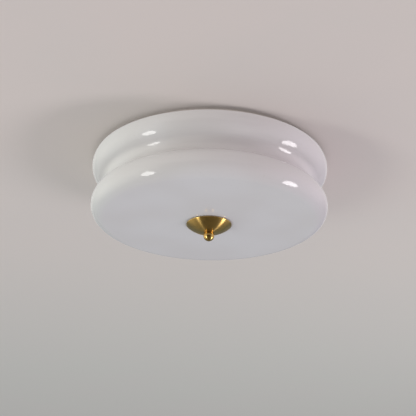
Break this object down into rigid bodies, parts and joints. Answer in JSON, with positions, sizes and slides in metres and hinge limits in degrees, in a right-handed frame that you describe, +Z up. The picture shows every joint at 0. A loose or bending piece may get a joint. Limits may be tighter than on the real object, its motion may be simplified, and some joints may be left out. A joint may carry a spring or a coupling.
{
  "type": "flush mount ceiling light",
  "caption": "Round flush ceiling light: a ribbed opal glass drum shade on a steel pan, held up by a brass cap and ball on a centre rod, with lampholders and bulbs inside.",
  "frame": {"origin": "on the ceiling plane at the middle of the light, where the top face of the mounting strap and the flange of the pan meet the ceiling", "axes": "+Z points up into the ceiling along the centre rod; the two lampholders lie side by side and point along +Y and -Y"},
  "size_m": [0.302, 0.302, 0.1111],
  "materials": {
    "opal_glass": "opal white glass, blown, fire-polished gloss",
    "bulb_glass": "opal coated glass, satin",
    "pan_white": "white powder coat, light orange peel",
    "zinc_steel": "zinc-plated steel",
    "brass": "polished brass, slightly aged",
    "plain_brass": "unpolished brass",
    "nickel": "nickel-plated sheet, rolled thread",
    "white_moulding": "moulded white thermoset, satin",
    "bulb_body": "moulded white plastic",
    "dark_glass": "black vitreous insulator",
    "nylon": "natural nylon, slightly yellow",
    "black_rubber": "soft black rubber",
    "grey_rubber": "soft grey rubber",
    "felt": "pressed wool felt",
    "live_insulation": "brown insulated wire",
    "neutral_insulation": "blue insulated wire",
    "earth_insulation": "green and yellow insulated wire",
    "tinned": "tinned copper"
  },
  "bodies": {
    "root": {"ceiling_pan": "pan_white", "mounting_strap": "zinc_steel", "pan_screws": "zinc_steel", "centre_rod": "zinc_steel", "rod_nuts": "zinc_steel", "rod_washers": "zinc_steel", "stop_nut": "zinc_steel", "stop_washer": "zinc_steel", "bracket_screws": "zinc_steel", "bracket_nuts": "zinc_steel", "nipple_nuts": "plain_brass", "terminal_block": "nylon", "terminal_tubes": "plain_brass", "terminal_screws": "zinc_steel", "block_screws": "zinc_steel", "earth_wire": "earth_insulation", "earth_ring": "tinned", "earth_washer": "plain_brass", "earth_screw": "plain_brass", "earth_nut": "plain_brass", "left_bracket": "zinc_steel", "left_nipple": "plain_brass", "left_holder_base": "white_moulding", "left_holder_sleeve": "white_moulding", "left_holder_shell": "plain_brass", "left_holder_contacts": "plain_brass", "left_grommet": "black_rubber", "left_live_wire": "live_insulation", "left_neutral_wire": "neutral_insulation", "right_bracket": "zinc_steel", "right_nipple": "plain_brass", "right_holder_base": "white_moulding", "right_holder_sleeve": "white_moulding", "right_holder_shell": "plain_brass", "right_holder_contacts": "plain_brass", "right_grommet": "black_rubber", "right_live_wire": "live_insulation", "right_neutral_wire": "neutral_insulation"},
    "left_bulb": {"left_bulb_contact": "tinned", "left_bulb_insulator": "dark_glass", "left_bulb_cap": "nickel", "left_bulb_collar": "bulb_body", "left_bulb_globe": "bulb_glass"},
    "right_bulb": {"right_bulb_contact": "tinned", "right_bulb_insulator": "dark_glass", "right_bulb_cap": "nickel", "right_bulb_collar": "bulb_body", "right_bulb_globe": "bulb_glass"},
    "shade": {"glass_shade": "opal_glass", "hole_bush": "grey_rubber", "inner_rubber_washer": "black_rubber"},
    "cap": {"brass_cap": "brass", "cap_felt": "felt"},
    "ball": {"ball_nut": "brass"}
  },
  "joints": [
    {"name": "shade_lower", "type": "slide", "parent": "root", "child": "shade", "axis": [0, 0, -1], "range_m": [0, 0.13]},
    {"name": "cap_drop", "type": "slide", "parent": "shade", "child": "cap", "axis": [0, 0, -1], "range_m": [0, 0.007]},
    {"name": "ball_turn", "type": "hinge", "parent": "cap", "child": "ball", "pos_m": [0, 0, -0.1041], "axis": [0, 0, -1], "range_deg": [0, 2521]},
    {"name": "left_bulb_out", "type": "slide", "parent": "root", "child": "left_bulb", "axis": [0, 1, 0], "range_m": [0, 0.03]},
    {"name": "right_bulb_out", "type": "slide", "parent": "root", "child": "right_bulb", "axis": [0, -1, 0], "range_m": [0, 0.03]}
  ],
  "couplings": [
    {"joint": "ball_turn", "follows": "cap_drop", "rad_per_m": 6283.2}
  ]
}
